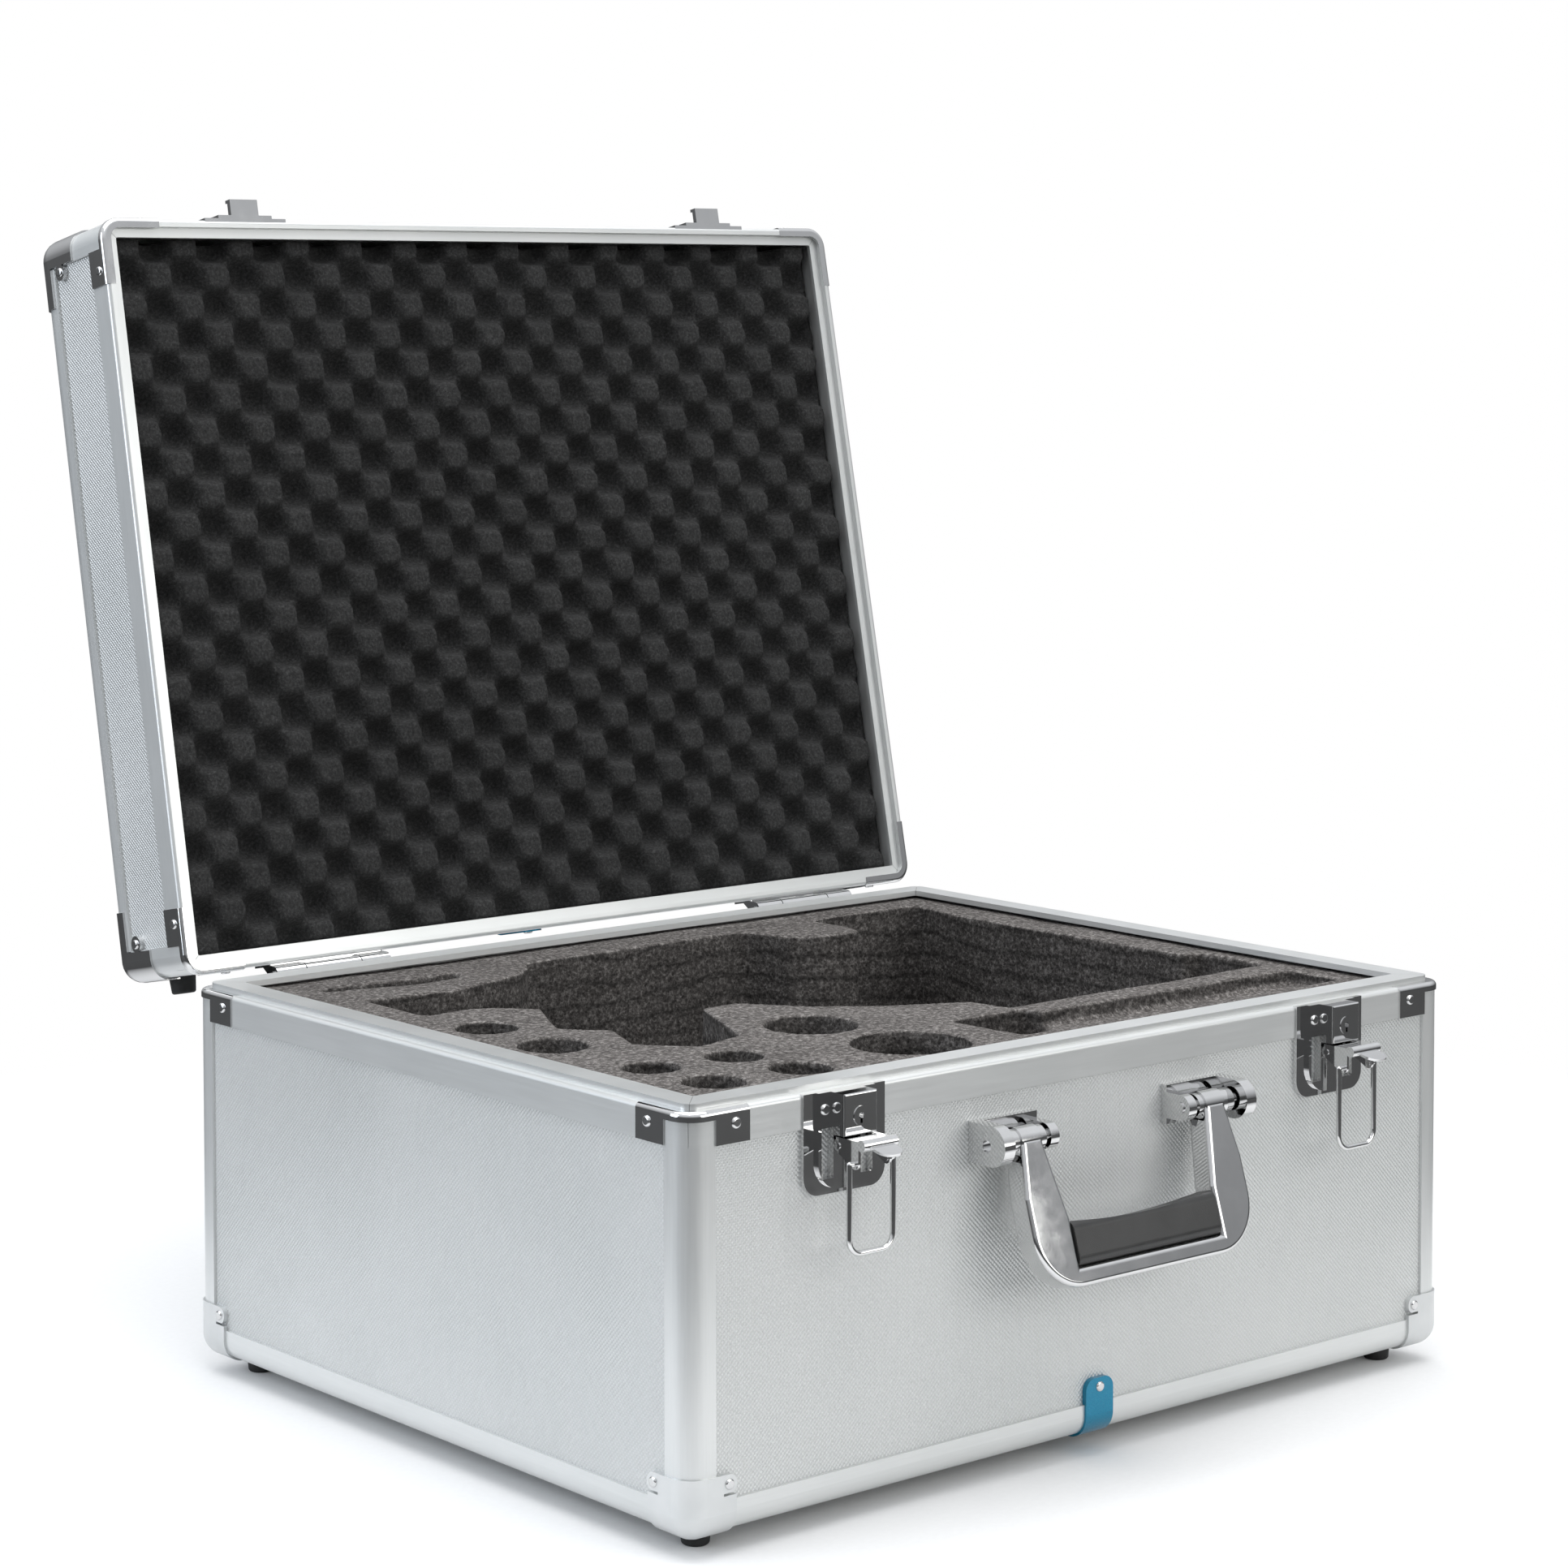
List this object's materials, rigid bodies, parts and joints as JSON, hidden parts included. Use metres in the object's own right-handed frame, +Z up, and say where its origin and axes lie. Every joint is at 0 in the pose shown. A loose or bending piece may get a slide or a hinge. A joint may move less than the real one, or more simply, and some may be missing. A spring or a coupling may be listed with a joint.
{
  "type": "transport case",
  "caption": "Deep aluminium-framed carrying case with its lid open, die-cut foam insert, egg-crate lid foam, draw latches with key locks, chrome swing handle and rubber feet",
  "frame": {"origin": "on the floor, in the plane of the four base feet, under the middle of the open case: 60 mm behind the middle of the base", "axes": "+X right along the long front, +Y towards the hinges, so the latches and handle face -Y, +Z up"},
  "size_m": [0.5244, 0.607, 0.6225],
  "materials": {
    "embossed_aluminium": "silver sheet with a fine diagonal diamond emboss",
    "satin_extrusion": "satin anodised extrusion",
    "cast_corner": "satin die casting",
    "chrome": "bright nickel-chrome plate",
    "rivet_nickel": "nickel plated rivets",
    "blue_metal": "blue metallic lacquer over steel",
    "black_rubber": "black rubber",
    "grip_black": "soft black grip",
    "insert_foam": "grey-black open-cell foam, die-cut",
    "egg_crate_foam": "black convoluted foam"
  },
  "bodies": {
    "base": {"base_back_feet": "black_rubber", "base_blue_clamps": "blue_metal", "base_bottom_panel": "embossed_aluminium", "base_bottom_rails": "satin_extrusion", "base_corner_castings": "cast_corner", "base_corner_posts": "satin_extrusion", "base_feet": "black_rubber", "base_front_panel": "embossed_aluminium", "base_left_panel": "embossed_aluminium", "base_rear_panel": "embossed_aluminium", "base_right_panel": "embossed_aluminium", "base_rim_clips": "chrome", "base_rim_rails": "satin_extrusion", "base_rivets": "rivet_nickel", "foam_insert": "insert_foam", "foam_pad": "insert_foam", "handle_bracket_left": "chrome", "handle_bracket_right": "chrome", "handle_pivot_pins": "chrome", "hinge_base_leaf_left": "chrome", "hinge_base_leaf_right": "chrome", "hinge_base_rivets": "rivet_nickel", "hinge_pin_left": "chrome", "hinge_pin_right": "chrome", "latch_plate_left": "chrome", "latch_plate_right": "chrome", "lever_pin_left": "chrome", "lever_pin_right": "chrome", "lock_box_left": "chrome", "lock_box_right": "chrome"},
    "lid": {"hinge_lid_leaf_left": "chrome", "hinge_lid_leaf_right": "chrome", "hinge_lid_rivets": "rivet_nickel", "keeper_left": "chrome", "keeper_right": "chrome", "lid_back_feet": "black_rubber", "lid_ball_corners": "chrome", "lid_blue_clamps": "blue_metal", "lid_corner_posts": "satin_extrusion", "lid_foam": "egg_crate_foam", "lid_front_panel": "embossed_aluminium", "lid_left_panel": "embossed_aluminium", "lid_rear_panel": "embossed_aluminium", "lid_right_panel": "embossed_aluminium", "lid_rim_clips": "chrome", "lid_rim_rails": "satin_extrusion", "lid_rivets": "rivet_nickel", "lid_top_panel": "embossed_aluminium", "lid_top_rails": "satin_extrusion"},
    "handle": {"handle_bow": "chrome", "handle_grip": "grip_black"},
    "lever_left": {"lever_left": "chrome"},
    "lever_right": {"lever_right": "chrome"},
    "bail_left": {"bail_left": "chrome"},
    "bail_right": {"bail_right": "chrome"},
    "lock_plug_left": {"lock_plug_left": "chrome"},
    "lock_plug_right": {"lock_plug_right": "chrome"}
  },
  "joints": [
    {"name": "lid_hinge", "type": "hinge", "parent": "base", "child": "lid", "pos_m": [0, 0.1503, 0.204], "axis": [1, 0, 0], "range_deg": [0, 101.5]},
    {"name": "handle_swing", "type": "hinge", "parent": "base", "child": "handle", "pos_m": [0, -0.2765, 0.167], "axis": [-1, 0, 0], "range_deg": [0, 75]},
    {"name": "lever_left_turn", "type": "hinge", "parent": "base", "child": "lever_left", "pos_m": [-0.1675, -0.2735, 0.18], "axis": [1, 0, 0], "range_deg": [0, 90]},
    {"name": "bail_left_swing", "type": "hinge", "parent": "lever_left", "child": "bail_left", "pos_m": [-0.1675, -0.2845, 0.1735], "axis": [1, 0, 0], "range_deg": [-262, 0]},
    {"name": "lock_left_turn", "type": "hinge", "parent": "base", "child": "lock_plug_left", "pos_m": [-0.1675, -0.2775, 0.1933], "axis": [0, 1, 0], "range_deg": [0, 90]},
    {"name": "lever_right_turn", "type": "hinge", "parent": "base", "child": "lever_right", "pos_m": [0.1675, -0.2735, 0.18], "axis": [1, 0, 0], "range_deg": [0, 90]},
    {"name": "bail_right_swing", "type": "hinge", "parent": "lever_right", "child": "bail_right", "pos_m": [0.1675, -0.2845, 0.1735], "axis": [1, 0, 0], "range_deg": [-262, 0]},
    {"name": "lock_right_turn", "type": "hinge", "parent": "base", "child": "lock_plug_right", "pos_m": [0.1675, -0.2775, 0.1933], "axis": [0, 1, 0], "range_deg": [0, 90]}
  ],
  "couplings": [
    {"joint": "bail_left_swing", "follows": "lever_left_turn", "ratio": -2.9046},
    {"joint": "bail_right_swing", "follows": "lever_right_turn", "ratio": -2.9046}
  ]
}
